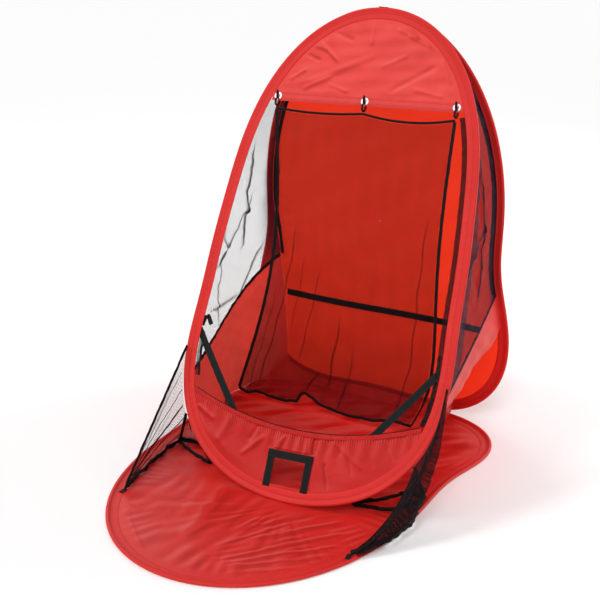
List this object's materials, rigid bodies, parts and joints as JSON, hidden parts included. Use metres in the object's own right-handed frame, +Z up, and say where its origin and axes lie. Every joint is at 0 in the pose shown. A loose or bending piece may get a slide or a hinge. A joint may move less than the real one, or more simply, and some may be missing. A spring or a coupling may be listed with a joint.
{
  "type": "golf chipping net",
  "caption": "Folding pop-up chipping net: sprung hoops in red fabric sleeves, a hanging target net, mesh side walls, a gathered catch pocket with a ball gate, and a floor.",
  "frame": {"origin": "centre of the floor panel's length and width, on the ground", "axes": "+Z up, +Y to the rear seam of the floor, +X to the right as seen from the mouth"},
  "size_m": [0.8592, 1.1421, 1.1606],
  "materials": {
    "panel_fabric": "woven nylon",
    "sleeve_fabric": "woven nylon, stitched",
    "header_fabric": "woven nylon",
    "webbing": "woven webbing",
    "binding": "binding tape",
    "netting": "fine knitted mesh",
    "elastic": "braided elastic",
    "band_steel": "blued spring steel",
    "eyelet_metal": "nickel plated"
  },
  "bodies": {
    "floor": {"floor_band": "band_steel", "floor_ferrule": "band_steel", "floor_sleeve": "sleeve_fabric", "floor_panel": "panel_fabric", "rear_seam_tape": "sleeve_fabric", "left_wing_tab": "webbing", "right_wing_tab": "webbing"},
    "back": {"back_band": "band_steel", "back_ferrule": "band_steel", "back_sleeve": "sleeve_fabric", "back_panel": "panel_fabric", "rear_strap": "webbing", "apex_tape": "sleeve_fabric", "left_wall_mesh": "netting", "right_wall_mesh": "netting", "left_wall_panel": "panel_fabric", "right_wall_panel": "panel_fabric", "left_wall_binding": "binding", "right_wall_binding": "binding", "left_seam_binding": "binding", "right_seam_binding": "binding"},
    "front": {"front_band": "band_steel", "front_ferrule": "band_steel", "front_sleeve": "sleeve_fabric", "header_panel": "header_fabric", "header_hem": "header_fabric", "eyelets": "eyelet_metal", "pocket_panel": "panel_fabric", "pocket_casing": "panel_fabric", "pocket_elastic": "elastic", "gate_webbing": "webbing", "left_brace": "webbing", "right_brace": "webbing", "left_brace_tab": "webbing", "right_brace_tab": "webbing", "left_wing_mesh": "netting", "right_wing_mesh": "netting", "left_wing_binding": "binding", "right_wing_binding": "binding"},
    "rings": {"net_rings": "elastic"},
    "net": {"target_net": "netting", "net_top_binding": "binding", "net_left_binding": "binding", "net_right_binding": "binding", "net_bottom_binding": "binding"}
  },
  "joints": [
    {"name": "back_fold", "type": "hinge", "parent": "floor", "child": "back", "pos_m": [0, 0.57246, 0.005], "axis": [-1, 0, 0], "range_deg": [0, 92], "deforming": ["left_wall_mesh", "right_wall_mesh", "left_wall_panel", "right_wall_panel", "left_wall_binding", "right_wall_binding", "left_seam_binding", "right_seam_binding", "left_wing_mesh", "right_wing_mesh", "left_wing_binding", "right_wing_binding", "rear_seam_tape"]},
    {"name": "front_close", "type": "hinge", "parent": "back", "child": "front", "pos_m": [0, 0.50546, 1.15326], "axis": [1, 0, 0], "range_deg": [0, 26.5]},
    {"name": "ring_turn", "type": "hinge", "parent": "front", "child": "rings", "pos_m": [0.01589, 0.36828, 0.91424], "axis": [-0.9983, -0.0278, -0.0504], "range_deg": [0, 26.7]},
    {"name": "net_swing", "type": "hinge", "parent": "rings", "child": "net", "pos_m": [0.01661, 0.36226, 0.89781], "axis": [0.9983, 0.0278, 0.0504], "range_deg": [-1, 4]}
  ],
  "couplings": [
    {"joint": "front_close", "follows": "back_fold", "ratio": 0.2875},
    {"joint": "ring_turn", "follows": "back_fold", "ratio": 0.2897}
  ]
}
